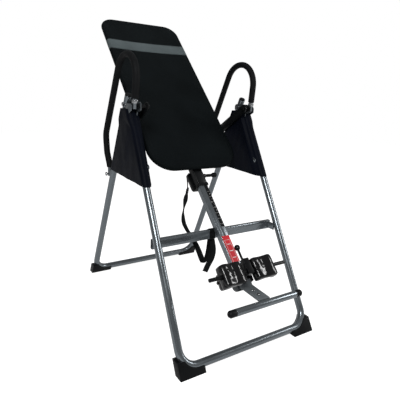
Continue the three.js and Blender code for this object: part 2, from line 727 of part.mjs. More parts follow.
function releaseRod() {
  const length = RELEASE.high - RELEASE.low + 22;
  const bar = new THREE.CylinderGeometry(RELEASE.r, RELEASE.r, length, 14);
  return bar.rotateX(Math.PI / 2).translate(RELEASE.x, RELEASE.y, RELEASE.high - length / 2);
}

function releaseBall() {
  const r = 14;
  const profile = [];
  const steps = 8;
  for (let i = 0; i <= steps; i++) {
    const t = -Math.PI / 2 + 0.42 + ((Math.PI - 0.42) * i) / steps;
    profile.push(new THREE.Vector2(i === steps ? 0 : r * Math.cos(t), r * Math.sin(t)));
  }
  profile.unshift(new THREE.Vector2(0, profile[0].y));
  const ball = new THREE.LatheGeometry(profile, 18).rotateX(Math.PI / 2);
  return ball.translate(RELEASE.x, RELEASE.y, RELEASE.high + 13.2);
}

// ---------- tether strap ----------
// The webbing hangs from the sleeve's housing behind the crossbar and comes up to its loop.
const STRAP_ROUTE = [
  [-28, 71, 655], [-25, 68, 616], [-28, 64, 580], [-40, 57, 542], [-56, 45, 499], [-69, 26, 464],
  [-79, 0, 437], [-83, -34, 417], [-80, -66, 397], [-71, -98, 365], [-59, -116, 327],
  [-49, -130, 290], [-41, -138, 275], [-34, -145, 297], [-28, -151, 340], [-24, -154, 396],
];
const TAIL_ROUTE = [
  [-24, -170, 396], [-13, -170, 344], [-20, -170, 308], [-40, -170, 277], [-56, -170, 246],
];

function ribbon(route) {
  const points = route.map(([x, y, z]) => new THREE.Vector3(x, y, z));
  const curve = new THREE.CatmullRomCurve3(points);
  const steps = route.length * 2;
  return tube(curve.getSpacedPoints(steps), 4, 0, 8);
}

function barLoop() {
  const { y, z, depth, height } = CROSSBAR;
  const ring = roundedRect(height + 2 * GAP + 2 * STRAP_T, depth + 2 * GAP + 2 * STRAP_T, 8);
  ring.holes.push(roundedRect(height + 2 * GAP, depth + 2 * GAP, 5.3));
  const options = { depth: STRAP_W, bevelEnabled: false, curveSegments: 3 };
  const loop = new THREE.ExtrudeGeometry(ring, options);
  return loop.rotateY(Math.PI / 2).translate(LOOP_X - STRAP_W / 2, y, z);
}

function strapBuckle() {
  const shape = roundedRect(STRAP_W + 8, 22, 4);
  shape.holes.push(roundedRect(STRAP_W + 1, 7, 1.5));
  const options = { depth: 4, bevelEnabled: false, curveSegments: 3 };
  const buckle = new THREE.ExtrudeGeometry(shape, options).rotateX(Math.PI / 2);
  return buckle.translate(LOOP_X, CROSSBAR.y + 2, CROSSBAR.z - CROSSBAR.height / 2 - 17);
}

// ---------- assembly ----------
const table = new THREE.Group();
table.position.set(0, -ORIGIN_Y, -FLOOR);

frontFrame(table);
crossbar(table);
rearFrame(table);
pair("rear_end_cap", rearEndCap(), BLACK_PLASTIC, table);
pair("hinge_bracket", hingeBracket(), SILVER, table);
pair("hinge_bolt", hingeBolt(), STEEL, table);
pair("pivot_bush", pivotBush(), BLACK_PLASTIC, table);
handle(table);
pair("handle_bolt", handleBolt(), STEEL, table);
const rearLinkX = SPREADER.x + SPREADER.thick + 1.5;
pair("spreader_front", spreaderLink(frontY, SPREADER.front, SPREADER.x), SILVER, table);
pair("spreader_rear", spreaderLink(rearY, SPREADER.rear, rearLinkX), SILVER, table);
pair("side_cover", sideCover(), COVER, table);
piece("tether_strap", ribbon(STRAP_ROUTE), WEBBING, table);
piece("tether_tail", ribbon(TAIL_ROUTE), WEBBING, table);
piece("tether_loop", barLoop(), WEBBING, table);
piece("tether_buckle", strapBuckle(), BLACK_PLASTIC, table);

const bed = new THREE.Group();
bed.position.set(0, PIVOT.y, PIVOT.z);
bed.rotation.x = -RECLINE;
table.add(bed);

piece("backrest", backrest(), FABRIC, bed);
piece("bed_loop_tube", bedLoop(), BLACK_STEEL, bed);
piece("bed_beam", bedBeam(), BLACK_STEEL, bed);
pair("pivot_pin", pivotPin(), BLACK_STEEL, bed);
piece("boom_sleeve", boomSleeve(), BLACK_STEEL, bed);
piece("sleeve_collar", sleeveCollar(), BLACK_PLASTIC, bed);
piece("height_lock_pin", lockPin(), STEEL, bed);
piece("height_lock_knob", lockKnob(), BLACK_PLASTIC, bed);

piece("boom_tube", boomTube(), SILVER, bed);
piece("boom_plug", boomPlug(), BLACK_PLASTIC, bed);
piece("height_scale", frontFaceStrip(2, 21, -545, -140, 0.6), BLACK_PLASTIC, bed);
piece("boom_label", frontFaceStrip(-19, 21, -722, -592, 0.6), RED, bed);
piece("footrest_bracket", footrestBracket(), SILVER, bed);
piece("footrest_bar", footrestBar(), SILVER, bed);
pair("footrest_cap", footrestCap(), BLACK_PLASTIC, bed);

piece("heel_plate", heelPlate(), GREY_PLASTIC, bed);
piece("rear_axle", axleTube(REAR_AXLE), BLACK_STEEL, bed);
pair("rear_cushion", pad(REAR_PAD, PAD_LENGTH.rear, REAR_AXLE), GLOSS_BLACK, bed);
piece("ankle_slide", ankleSlide(), BLACK_STEEL, bed);
piece("front_axle", axleTube(FRONT_AXLE), BLACK_STEEL, bed);
const frontPad = pad(FRONT_PAD, PAD_LENGTH.front, FRONT_AXLE);
const padShift = -6; // both pads stand a little to the left on their axle
piece("front_cushion_right", frontPad.clone().translate(padShift, 0, 0), GLOSS_BLACK, bed);
piece("front_cushion_left", mirrored(frontPad).translate(padShift, 0, 0), GLOSS_BLACK, bed);
piece("ankle_lock_housing", lockHousing(), BLACK_STEEL, bed);
piece("ankle_release_rod", releaseRod(), BLACK_STEEL, bed);
piece("ankle_release_ball", releaseBall(), GLOSS_BLACK, bed);

export default table;
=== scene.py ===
import bpy
import bmesh
import math
from mathutils import Matrix, Vector, noise


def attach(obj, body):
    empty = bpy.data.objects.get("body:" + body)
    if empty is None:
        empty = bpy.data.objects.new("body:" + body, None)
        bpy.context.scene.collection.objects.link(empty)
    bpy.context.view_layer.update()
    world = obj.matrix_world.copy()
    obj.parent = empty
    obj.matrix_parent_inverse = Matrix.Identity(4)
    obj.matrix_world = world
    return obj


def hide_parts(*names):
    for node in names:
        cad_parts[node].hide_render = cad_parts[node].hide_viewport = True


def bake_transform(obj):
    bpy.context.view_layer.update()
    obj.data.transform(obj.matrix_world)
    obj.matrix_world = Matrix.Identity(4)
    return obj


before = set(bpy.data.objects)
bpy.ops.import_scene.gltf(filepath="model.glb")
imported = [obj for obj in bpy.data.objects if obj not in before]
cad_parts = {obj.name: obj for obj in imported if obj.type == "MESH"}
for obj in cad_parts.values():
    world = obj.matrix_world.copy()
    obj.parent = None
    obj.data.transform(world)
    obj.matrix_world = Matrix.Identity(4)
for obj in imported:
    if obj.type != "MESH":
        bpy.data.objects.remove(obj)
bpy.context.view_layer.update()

# Lengths in the tables below are millimetres in the design's own axes, as in the CAD source.
ORIGIN_Y = 115.3
FLOOR_Z = 5.0
PIVOT = (30.0, 1005.0)
RECLINE = math.radians(45)
LEG_X = 333.0
LEG_R = 16.5
SIDES = (("right", 1), ("left", -1))  # with the sign of x


def row(x, y, z):
    """A point in the design's axes, in the frame's metres."""
    return Vector((x, y - ORIGIN_Y, z + FLOOR_Z)) / 1000


BED = Matrix.Translation(row(0, *PIVOT)) @ Matrix.Rotation(-RECLINE, 4, "X")


def bed(x, y, z):
    """A point in the bed's own axes: x across, y behind its front, z up along it."""
    return BED @ (Vector((x, y, z)) / 1000)


def clamp(value):
    return min(max(value, 0.0), 1.0)


# ---------------------------------------------------------------- camera
AZIMUTH, ELEVATION, ROLL = -32.7576, 8.9277, 2.3239  # degrees
EYE = (-1059.7, -1647.9, 1057.1)
SENSOR, LENS, SHIFT_Y = 36, 36.137, -0.1


def photo_camera():
    """The photograph's viewing angle and framing."""
    azimuth, elevation, roll = (math.radians(v) for v in (AZIMUTH, ELEVATION, ROLL))
    back = Vector((
        math.sin(azimuth) * math.cos(elevation),
        -math.cos(azimuth) * math.cos(elevation),
        math.sin(elevation),
    ))
    level = Vector((math.cos(azimuth), math.sin(azimuth), 0))
    upright = back.cross(level)
    right = math.cos(roll) * level + math.sin(roll) * upright
    up = -math.sin(roll) * level + math.cos(roll) * upright
    camera = bpy.data.objects.new("camera", bpy.data.cameras.new("camera"))
    axes = Matrix((right, up, back)).transposed().to_4x4()
    camera.matrix_world = Matrix.Translation(row(*EYE)) @ axes
    camera.data.sensor_width = SENSOR
    camera.data.lens = LENS
    camera.data.shift_y = SHIFT_Y
    camera.data.clip_end = 60
    bpy.context.scene.collection.objects.link(camera)
    bpy.context.scene.camera = camera


photo_camera()


# ---------------------------------------------------------------- materials
def new_material(name):
    material = bpy.data.materials.new(name)
    material.use_nodes = True
    tree = material.node_tree
    return material, tree, tree.nodes["Principled BSDF"]


def add(tree, kind, **values):
    node = tree.nodes.new(kind)
    for key, value in values.items():
        if key in node.inputs:
            node.inputs[key].default_value = value
        else:
            setattr(node, key, value)
    return node


def position(tree, scale=(1, 1, 1), rotation=(0, 0, 0)):
    coords = add(tree, "ShaderNodeTexCoord")
    mapping = add(tree, "ShaderNodeMapping", Scale=scale, Rotation=rotation)
    tree.links.new(coords.outputs["Object"], mapping.inputs["Vector"])
    return mapping.outputs["Vector"]


def texture(tree, vector, kind="ShaderNodeTexNoise", out="Fac", **values):
    node = add(tree, kind, **values)
    tree.links.new(vector, node.inputs["Vector"])
    return node.outputs[out]


def span(tree, value, low, high, start=0.0, end=1.0):
    node = add(tree, "ShaderNodeMapRange")
    node.inputs["From Min"].default_value = start
    node.inputs["From Max"].default_value = end
    node.inputs["To Min"].default_value = low
    node.inputs["To Max"].default_value = high
    tree.links.new(value, node.inputs["Value"])
    return node.outputs["Result"]


def ramp(tree, value, *stops):
    node = add(tree, "ShaderNodeValToRGB")
    elements = node.color_ramp.elements
    while len(elements) < len(stops):
        elements.new(0.5)
    for element, (place, color) in zip(elements, stops):
        element.position = place
        element.color = (*color, 1)
    tree.links.new(value, node.inputs["Fac"])
    return node.outputs["Color"]


def maths(tree, operation, one, two):
    node = add(tree, "ShaderNodeMath", operation=operation)
    for socket, value in zip(node.inputs, (one, two)):
        if isinstance(value, (int, float)):
            socket.default_value = value
        else:
            tree.links.new(value, socket)
    return node.outputs["Value"]


def bump(tree, shader, height, distance, strength=1.0, normal=None):
    node = add(tree, "ShaderNodeBump", Strength=strength, Distance=distance)
    tree.links.new(height, node.inputs["Height"])
    if normal is not None:
        tree.links.new(normal, node.inputs["Normal"])
    tree.links.new(node.outputs["Normal"], shader.inputs["Normal"])
    return node.outputs["Normal"]


def mixed(color, factor):
    return tuple(c * factor for c in color)


def painted(name, color, metallic, roughness, grain=0.00008, gloss=0.5):
    """Powder coat: a fine orange-peel surface, with slightly uneven gloss."""
    material, tree, shader = new_material(name)
    place = position(tree)
    cloud = texture(tree, place, Scale=9.0, Detail=3.0)
    fine = texture(tree, place, Scale=700.0, Detail=2.0)
    tree.links.new(
        ramp(tree, cloud, (0.25, mixed(color, 0.9)), (0.75, mixed(color, 1.08))),
        shader.inputs["Base Color"],
    )
    shader.inputs["Metallic"].default_value = metallic
    shader.inputs["Specular IOR Level"].default_value = gloss
    tree.links.new(
        span(tree, cloud, roughness - 0.05, roughness + 0.06, 0.3, 0.7),
        shader.inputs["Roughness"],
    )
    bump(tree, shader, fine, grain, 0.15)
    return material


def moulded(name, color, roughness, grain=0.0001, gloss=0.25):
    """Injection-moulded plastic with a light spark-eroded grain."""
    material, tree, shader = new_material(name)
    place = position(tree)
    cloud = texture(tree, place, Scale=14.0, Detail=4.0)
    pits = texture(tree, place, "ShaderNodeTexVoronoi", "Distance", Scale=900.0)
    tree.links.new(
        ramp(tree, cloud, (0.3, mixed(color, 0.85)), (0.72, mixed(color, 1.2))),
        shader.inputs["Base Color"],
    )
    shader.inputs["Specular IOR Level"].default_value = gloss
    tree.links.new(
        span(tree, cloud, roughness - 0.06, roughness + 0.08, 0.3, 0.7),
        shader.inputs["Roughness"],
    )
    bump(tree, shader, pits, grain, 0.6)
    return material


def woven(name, color, roughness, pitch, gloss, rotation=(0, 0, 0), folds=0.0):
    """Plain-weave nylon: threads along two axes, with slow changes of tone."""
    material, tree, shader = new_material(name)
    place = position(tree, rotation=rotation)
    scale = 1.0 / (pitch * 2)
    waves = [
        texture(tree, place, "ShaderNodeTexWave", "Fac", Scale=scale * 0.32, bands_direction=way)
        for way in ("X", "Z")
    ]
    weave = maths(tree, "MULTIPLY", *waves)
    cloud = texture(tree, place, Scale=6.0, Detail=5.0)
    tone = maths(tree, "ADD", maths(tree, "MULTIPLY", weave, 0.35), cloud)
    tree.links.new(
        ramp(tree, tone, (0.3, mixed(color, 0.7)), (0.95, mixed(color, 1.35))),
        shader.inputs["Base Color"],
    )
    shader.inputs["Specular IOR Level"].default_value = gloss
    tree.links.new(
        span(tree, cloud, roughness - 0.06, roughness + 0.06, 0.3, 0.7),
        shader.inputs["Roughness"],
    )
    normal = None
    if folds:
        soft = texture(tree, place, Scale=11.0, Detail=3.0)
        normal = bump(tree, shader, soft, folds, 0.6)
    bump(tree, shader, weave, 0.0002, 0.5, normal)
    return material


def ribbed(name, color):
    """Webbing: ribs across its length and two edge cords, from its own width and length."""
    material, tree, shader = new_material(name)
    place = add(tree, "ShaderNodeTexCoord").outputs["UV"]
    ribs = texture(
        tree, place, "ShaderNodeTexWave", "Fac", Scale=110.0, bands_direction="Y", Distortion=0.6
    )
    lines = texture(tree, place, "ShaderNodeTexWave", "Fac", Scale=4.0, bands_direction="X")
    both = maths(tree, "ADD", ribs, maths(tree, "MULTIPLY", lines, 0.4))
    tree.links.new(
        ramp(tree, both, (0.1, mixed(color, 0.6)), (1.0, mixed(color, 1.5))),
        shader.inputs["Base Color"],
    )
    tree.links.new(span(tree, ribs, 0.7, 0.9), shader.inputs["Roughness"])
    shader.inputs["Specular IOR Level"].default_value = 0.06
    bump(tree, shader, both, 0.0004, 0.6)
    return material


def foam(name, color):
    """Closed-cell foam grip: matte, with small pores."""
    material, tree, shader = new_material(name)
    place = position(tree)
    cells = texture(tree, place, "ShaderNodeTexVoronoi", "Distance", Scale=650.0)
    cloud = texture(tree, place, Scale=22.0, Detail=4.0)
    tree.links.new(
        ramp(tree, cloud, (0.3, mixed(color, 0.8)), (0.75, mixed(color, 1.3))),
        shader.inputs["Base Color"],
    )
    tree.links.new(span(tree, cells, 0.5, 0.7, 0.0, 0.8), shader.inputs["Roughness"])
    shader.inputs["Specular IOR Level"].default_value = 0.1
    bump(tree, shader, cells, 0.0003, 0.5)
    return material


def glossy(name, color, roughness):
    """Self-skinned foam with a wet-looking, slightly uneven skin."""
    material, tree, shader = new_material(name)
    place = position(tree)
    swell = texture(tree, place, Scale=26.0, Detail=2.0)
    cloud = texture(tree, place, Scale=60.0, Detail=4.0)
    tree.links.new(
        ramp(tree, cloud, (0.3, mixed(color, 0.8)), (0.75, mixed(color, 1.3))),
        shader.inputs["Base Color"],
    )
    tree.links.new(
        span(tree, cloud, roughness - 0.04, roughness + 0.08, 0.3, 0.7),
        shader.inputs["Roughness"],
    )
    shader.inputs["Specular IOR Level"].default_value = 0.22
    shader.inputs["Coat Weight"].default_value = 0.3
    shader.inputs["Coat Roughness"].default_value = 0.03
    bump(tree, shader, swell, 0.004, 0.35)
    return material


SILVER = painted("silver_powder_coat", (0.17, 0.19, 0.205), 0.85, 0.24, 0.00003)
SATIN = painted("satin_silver", (0.12, 0.134, 0.143), 0.35, 0.45, 0.00003, gloss=0.4)
BLACK_PAINT = painted("black_powder_coat", (0.004, 0.0045, 0.005), 0.0, 0.3, gloss=0.16)
ZINC = painted("bright_zinc", (0.42, 0.43, 0.44), 1.0, 0.24, 0.00003)
PLASTIC = moulded("black_plastic", (0.0045, 0.005, 0.0055), 0.42, gloss=0.1)
GREY_PLASTIC = moulded("grey_plastic", (0.15, 0.16, 0.165), 0.45, gloss=0.3)
RED_FILM = moulded("red_film", (0.44, 0.016, 0.024), 0.36, 0.00003)
WHITE_INK = moulded("white_ink", (0.6, 0.6, 0.59), 0.5, 0.00003)
GLOSS = glossy("gloss_pad_skin", (0.003, 0.003, 0.0035), 0.11)
GRIP = foam("grip_foam", (0.004, 0.0045, 0.005))
BED_TURN = (RECLINE, 0, 0)  # turns the weave into line with the bed
BED_CLOTH = woven("bed_cloth", (0.0032, 0.0044, 0.0049), 0.62, 0.0011, 0.03, BED_TURN)
BAND_CLOTH = woven("band_cloth", (0.056, 0.069, 0.072), 0.6, 0.0009, 0.06, BED_TURN)
COVER_CLOTH = woven("cover_cloth", (0.0022, 0.0031, 0.0064), 0.5, 0.0009, 0.04, folds=0.006)
WEBBING = ribbed("webbing", (0.005, 0.006, 0.0065))
THREAD = woven("thread", (0.01, 0.012, 0.013), 0.7, 0.0004, 0.05)


# ---------------------------------------------------------------- mesh helpers
def object_of(name, mesh, material, body):
    thing = bpy.data.objects.new(name, mesh)
    bpy.context.scene.collection.objects.link(thing)
    mesh.materials.clear()
    mesh.materials.append(material)
    if body is not None:
        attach(thing, body)
    return thing


def mesh_of(name, vertices, faces, uvs=None):
    mesh = bpy.data.meshes.new(name)
    mesh.from_pydata([tuple(v) for v in vertices], [], faces)
    if uvs is not None:
        layer = mesh.uv_layers.new(name="UVMap")
        for loop in mesh.loops:
            layer.data[loop.index].uv = uvs[loop.vertex_index]
    smooth(mesh)
    return mesh


def smooth(mesh, degrees=35):
    mesh.polygons.foreach_set("use_smooth", [True] * len(mesh.polygons))
    mesh.set_sharp_from_angle(angle=math.radians(degrees))
    mesh.update()


def facing_out(mesh, weld=0.0):
    """Turns every face outward, after joining points closer than `weld`; returns the area."""
    shape = bmesh.new()
    shape.from_mesh(mesh)
    if weld:
        bmesh.ops.remove_doubles(shape, verts=shape.verts, dist=weld)
    bmesh.ops.recalc_face_normals(shape, faces=shape.faces)
    area = sum(face.calc_area() for face in shape.faces)
    shape.to_mesh(mesh)
    shape.free()
    return area


def quads(layers, count, closed=True):
    """Faces between neighbouring layers of `count` points: rings, or open rows."""
    faces = []
    for j in range(layers - 1):
        at, on = j * count, (j + 1) * count
        for k in range(count if closed else count - 1):
            m = (k + 1) % count
            faces.append((at + k, at + m, on + m, on + k))
    return faces


def capped(layers, count):
    """Faces of a closed body made of rings of `count` points."""
    first, last = range(count), range((layers - 1) * count, layers * count)
    return quads(layers, count) + [tuple(reversed(first)), tuple(last)]


def lengths_along(points):
    """How far along the line each point is."""
    total = [0.0]
    for one, two in zip(points, points[1:]):
        total.append(total[-1] + (two - one).length)
    return total


def baked(thing):
    """Applies every modifier on the object."""
    bpy.context.view_layer.update()
    graph = bpy.context.evaluated_depsgraph_get()
    mesh = bpy.data.meshes.new_from_object(thing.evaluated_get(graph))
    thing.modifiers.clear()
    old = thing.data
    thing.data = mesh
    bpy.data.meshes.remove(old)


def thickened(thing, thickness, offset=0):
    thick = thing.modifiers.new("thickness", "SOLIDIFY")
    thick.thickness = thickness
    thick.offset = offset


def remeshed(thing, voxel, passes, factor=0.5):
    """A voxel grid and smoothing passes, which round a block's edges."""
    grid = thing.modifiers.new("grid", "REMESH")
    grid.mode = "VOXEL"
    grid.voxel_size = voxel
    soften = thing.modifiers.new("soften", "SMOOTH")
    soften.factor = factor
    soften.iterations = passes


def subdivided(thing):
    finer = thing.modifiers.new("finer", "SUBSURF")
    finer.levels = finer.render_levels = 1


def rounded(corners, step=6.0):
    """A polyline whose inner corners, (x, y, z, radius), are arcs."""
    at = [Vector(c[:3]) for c in corners]
    points = [at[0]]
    for i in range(1, len(at) - 1):
        radius = corners[i][3]
        toward = (at[i - 1] - at[i]).normalized()
        away = (at[i + 1] - at[i]).normalized()
        turn = math.pi - toward.angle(away)
        centre = at[i] + (toward + away).normalized() * (radius / math.cos(turn / 2))
        arm = at[i] + toward * (radius * math.tan(turn / 2)) - centre
        axis = away.cross(toward).normalized()
        steps = max(2, round(math.degrees(turn) / step))
        for k in range(steps + 1):
            points.append(centre + Matrix.Rotation(turn * k / steps, 3, axis) @ arm)
    points.append(at[-1])
    return points


def frames_along(points, up_hint):
    """Each point with a side and a normal, turned as little as possible along the line."""
    rows = []
    normal = Vector(up_hint)
    last = len(points) - 1
    for i, point in enumerate(points):
        tangent = (points[min(i + 1, last)] - points[max(i - 1, 0)]).normalized()
        normal = (normal - tangent * normal.dot(tangent)).normalized()
        rows.append((point, tangent.cross(normal), normal))
    return rows


def sweep(name, points, section, up_hint=(1, 0, 0), place=row):
    """A closed body: section(i, share) gives [(side, normal)] in mm at each point."""
    points = [Vector(p) for p in points]
    vertices, uvs = [], []
    along = zip(frames_along(points, up_hint), lengths_along(points))
    for i, ((point, side, normal), travelled) in enumerate(along):
        ring = section(i, i / (len(points) - 1))
        for k, (s, n) in enumerate(ring):
            vertices.append(place(*(point + side * s + normal * n)))
            uvs.append((k / len(ring), travelled / 1000))
    mesh = mesh_of(name, vertices, capped(len(points), len(ring)), uvs)
    facing_out(mesh)
    smooth(mesh)
    return mesh


def ring_of(radius, sides=32):
    return [
        (radius * math.cos(2 * math.pi * k / sides), radius * math.sin(2 * math.pi * k / sides))
        for k in range(sides)
    ]


def with_round_ends(points, radius, steps=4):
    """Adds points near both ends for a rounded edge, and gives each point's share of it."""
    points = [Vector(p) for p in points]

    def dome(end, inner):
        way = (end - inner).normalized()
        extra = []
        for k in range(steps + 1):
            t = math.pi / 2 * k / steps
            extra.append((end - way * radius * (1 - math.sin(t)), math.cos(t)))
        return extra

    head = dome(points[0], points[1])
    tail = dome(points[-1], points[-2])
    places = [p for p, _ in reversed(head)] + points[1:-1] + [p for p, _ in tail]
    sizes = [s for _, s in reversed(head)] + [1.0] * (len(points) - 2) + [s for _, s in tail]
    return places, sizes


def tube(name, points, radius, edge=1.5, sides=32, up_hint=(1, 0, 0), place=row, shape=None):
    """A round tube whose two ends have a small rounded edge."""
    places, sizes = with_round_ends(points, edge)

    def section(i, share):
        size = radius - edge * (1 - sizes[i])
        ring = ring_of(size, sides)
        return shape(ring, share) if shape else ring

    return sweep(name, places, section, up_hint, place)


def tube_piece(name, points, radius, material, body, slot, node=None, **form):
    """A round tube as a piece of its own, standing for the node if one is given."""
    thing = object_of(name, tube(name, points, radius, **form), material, body)
    if node is not None:
        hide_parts(node)
    return thing


SAME_POINT = 2e-5  # metres
SAME_PLANE, REAL_EDGE = math.radians(0.6), math.radians(30)


def refined(node, material, body, bevel=0.6, segments=2, name=None):
    """The node's own shape with welded facets and softened edges, standing for the node."""
    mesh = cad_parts[node].data.copy()
    shape = bmesh.new()
    shape.from_mesh(mesh)
    bmesh.ops.remove_doubles(shape, verts=shape.verts, dist=SAME_POINT)
    bmesh.ops.dissolve_limit(
        shape, angle_limit=SAME_PLANE, verts=shape.verts, edges=shape.edges
    )
    bmesh.ops.recalc_face_normals(shape, faces=shape.faces)
    shape.to_mesh(mesh)
    shape.free()
    thing = object_of(name or f"{node}_shape", mesh, material, body)
    if bevel:
        edges = thing.modifiers.new("edges", "BEVEL")
        edges.width = bevel / 1000
        edges.segments = segments
        edges.limit_method = "ANGLE"
        edges.angle_limit = REAL_EDGE
        baked(thing)
    smooth(thing.data, 40)
    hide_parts(node)
    return thing


# ---------------------------------------------------------------- tether strap
STRAP_ROUTE = [
    (-28, 71, 655), (-25, 68, 616), (-28, 64, 580), (-40, 57, 542), (-56, 45, 499),
    (-69, 26, 464), (-79, 0, 437), (-83, -34, 417), (-80, -66, 397), (-71, -98, 365),
    (-59, -116, 327), (-49, -130, 290), (-41, -138, 275), (-34, -145, 297), (-28, -151, 340),
    (-24, -154, 396),
]
TAIL_ROUTE = [
    (-24, -170, 396), (-13, -170, 344), (-20, -170, 308), (-40, -170, 277), (-56, -170, 246),
]
STRAP_TURNS = [50, 54, 48, 14, 52, 34, 32, 40, 30, 12, 4, 0, 0, 0, 0, 0]
TAIL_TURNS = [0, 4, 0, -4, -2]
STRAP_W, STRAP_T = 30.0, 2.2
WEB_SECTION = (
    (-1, -1), (-0.96, -1.25), (0, -1), (0.96, -1.25), (1, -1),
    (1, 1), (0.96, 1.25), (0, 1), (-0.96, 1.25), (-1, 1),
)  # in half widths and half thicknesses, with a raised cord at each edge
CURVE_STEPS, TURN_STEPS = 12, 199


def through(route, count):
    """Evenly spaced points on a smooth curve through the route."""
    at = [Vector(p) for p in route]
    at = [2 * at[0] - at[1]] + at + [2 * at[-1] - at[-2]]
    dense = []
    for i in range(1, len(at) - 2):
        p0, p1, p2, p3 = at[i - 1:i + 3]
        for k in range(CURVE_STEPS):
            t = k / CURVE_STEPS
            dense.append(
                0.5 * (2 * p1 + (p2 - p0) * t + (2 * p0 - 5 * p1 + 4 * p2 - p3) * t * t
                       + (3 * p1 - p0 - 3 * p2 + p3) * t ** 3)
            )
    dense.append(at[-2])
    total = lengths_along(dense)
    points, j = [], 0
    for k in range(count):
        want = total[-1] * k / (count - 1)
        while j < len(total) - 2 and total[j + 1] < want:
            j += 1
        share = (want - total[j]) / max(total[j + 1] - total[j], 1e-9)
        points.append(dense[j].lerp(dense[j + 1], share))
    return points, total[-1]


def webbing(name, route, turns, count, body):
    """Flat webbing along a route: `turns` gives its width's direction, in degrees about +Z."""
    points, length = through(route, count)
    turn_line = [(turn, 100.0 * i, 0) for i, turn in enumerate(turns)]
    angles, _ = through(turn_line, TURN_STEPS + 1)
    corners = len(route) - 1
    total = lengths_along([Vector(p) for p in route])
    vertices, uvs = [], []
    last = len(points) - 1
    for i, (point, gone) in enumerate(zip(points, lengths_along(points))):
        share = gone / length * total[-1]
        k = max(j for j in range(corners) if total[j] <= share + 1e-6)
        part = (share - total[k]) / (total[k + 1] - total[k])
        step = min(round((k + part) / corners * TURN_STEPS), TURN_STEPS)
        turn = math.radians(angles[step].x)
        tangent = (points[min(i + 1, last)] - points[max(i - 1, 0)]).normalized()
        across = Vector((math.cos(turn), math.sin(turn), 0))
        across = (across - tangent * across.dot(tangent)).normalized()
        normal = tangent.cross(across)
        for s, n in WEB_SECTION:
            edge = point + across * (s * STRAP_W / 2)
            vertices.append(row(*(edge + normal * (n * STRAP_T / 2))))
            uvs.append(((s + 1) / 2, gone / 1000))
    mesh = mesh_of(name, vertices, capped(len(points), len(WEB_SECTION)), uvs)
    facing_out(mesh)
    smooth(mesh)
    thing = object_of(name, mesh, WEBBING, body)
    return thing, [row(*p) for p in points], length / 1000


def strap_slide(name, centre, turn, tilt):
    """A moulded three-bar slide that the strap is threaded through."""
    shape = bmesh.new()
    frame_at = Matrix.Translation(row(*centre)) @ Matrix.Rotation(math.radians(turn), 4, "Z")
    frame_at = frame_at @ Matrix.Rotation(math.radians(tilt), 4, "X")
    for x, z, wide, tall, deep in (
        (-19, 0, 5, 30, 7), (19, 0, 5, 30, 7), (0, 13, 40, 4.5, 7), (0, -13, 40, 4.5, 7),
        (0, 0, 40, 5, 9),
    ):
        made = bmesh.ops.create_cube(shape, size=0.001)
        bmesh.ops.scale(shape, vec=(wide, deep, tall), verts=made["verts"])
        bmesh.ops.translate(shape, vec=(x / 1000, 0, z / 1000), verts=made["verts"])
    bmesh.ops.transform(shape, matrix=frame_at, verts=shape.verts)
    mesh = bpy.data.meshes.new(name)
    shape.to_mesh(mesh)
    shape.free()
    thing = object_of(name, mesh, PLASTIC, None)
    remeshed(thing, 0.0009, 3)
    baked(thing)
    smooth(thing.data, 60)
    return thing


strap, strap_path, strap_length = webbing("tether_webbing", STRAP_ROUTE, STRAP_TURNS, 40, None)
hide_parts("tether_strap")
slide = strap_slide("tether_slide", STRAP_ROUTE[2], STRAP_TURNS[2], 6)
for piece in (strap, slide):
    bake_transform(piece)
tail, _, tail_length = webbing("tether_tail_webbing", TAIL_ROUTE, TAIL_TURNS, 18, "stand")
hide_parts("tether_tail")


# ---------------------------------------------------------------- frames
FRONT = (-461.2, 0.549, 1000)  # where the legs stand on z = 0, their slope, their top
REAR = (601.7, -0.4634, 1050)
LEG_BASE, LEG_BEND = 17, 72


def leg_y(leg, z):
    return leg[0] + leg[1] * z


def leg_corners(leg):
    top, base = leg[2], LEG_BASE
    return [
        (-LEG_X, leg_y(leg, top), top),
        (-LEG_X, leg_y(leg, base), base, LEG_BEND),
        (LEG_X, leg_y(leg, base), base, LEG_BEND),
        (LEG_X, leg_y(leg, top), top),
    ]


for node, leg, body in (
    ("front_frame_tube", FRONT, "stand"), ("rear_frame_tube", REAR, "rear_frame")
):
    tube_piece(f"{node}_round", rounded(leg_corners(leg)), LEG_R, SILVER, body, "silver_paint",
               node, up_hint=(0, 1, 0.5))

HANDLE = [
    (LEG_X, 41, 992), (LEG_X, 16, 1239, 110), (LEG_X, 214, 1239, 118), (LEG_X, 416, 842, 70),
    (LEG_X, 396, 748, 60), (LEG_X, 353, 684, 40), (LEG_X, 349, 628),
]
RAIL_R, GRIP_R, COLLAR_R = 11, 16, 14.5
END_STEPS = 12


def flattened(ring, share):
    """A rail's section, pressed flat at its lower end for the bolt."""
    squeeze = clamp((share - 0.965) / 0.03)
    squeeze = squeeze * squeeze * (3 - 2 * squeeze)
    return [(s * (1 + 0.25 * squeeze), n * (1 - 0.62 * squeeze)) for s, n in ring]


for side, sign in SIDES:
    path = [Vector((p.x * sign, p.y, p.z)) for p in rounded(HANDLE)]
    end = [path[-2].lerp(path[-1], k / END_STEPS) for k in range(1, END_STEPS + 1)]
    tube_piece(f"handle_tube_round_{side}", path[:-1] + end, RAIL_R, SILVER, "stand",
               "silver_paint", f"handle_tube_{side}", shape=flattened)
    grip = [path[0].lerp(path[1], 0.36)] + path[1:-2] + [path[-3].lerp(path[-2], 0.8)]
    thing = tube_piece(f"handle_grip_{side}", grip, GRIP_R, GRIP, "stand", "grip_foam",
                       f"handle_foam_{side}", edge=3.5)
    collar = [path[0].lerp(path[1], t) for t in (0.2, 0.33)]
    tube_piece(f"handle_collar_{side}", collar, COLLAR_R, ZINC, "stand", "zinc_steel", edge=2)

